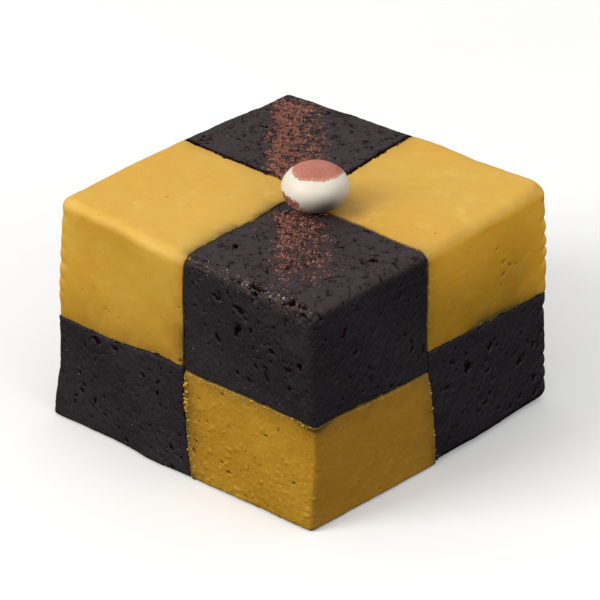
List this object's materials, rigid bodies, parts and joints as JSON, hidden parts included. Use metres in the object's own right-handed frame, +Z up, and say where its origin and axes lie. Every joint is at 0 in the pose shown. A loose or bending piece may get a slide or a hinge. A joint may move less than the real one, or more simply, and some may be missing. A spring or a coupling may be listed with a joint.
{
  "type": "chequered mango katli sweet",
  "caption": "Chequered square sweet of soft mango and dark chocolate blocks, with one white sugar pearl and a stripe of cocoa on top.",
  "frame": {"origin": "on the ground under the middle of the sweet", "axes": "+Z up; the picture shows the -Y side on its left and the +X side on its right"},
  "size_m": [0.0313, 0.0324, 0.0251],
  "materials": {
    "mango": "smooth soft paste with a faint waxy sheen",
    "dark_chocolate": "dense dark paste with small pits and a dull sheen",
    "white_sugar": "polished sugar shell"
  },
  "bodies": {
    "root": {"mango_upper_left": "mango", "dark_upper_front": "dark_chocolate", "dark_upper_back": "dark_chocolate", "mango_upper_right": "mango", "dark_lower_left": "dark_chocolate", "mango_lower_front": "mango", "mango_lower_back": "mango", "dark_lower_right": "dark_chocolate", "pearl": "white_sugar"}
  },
  "joints": []
}
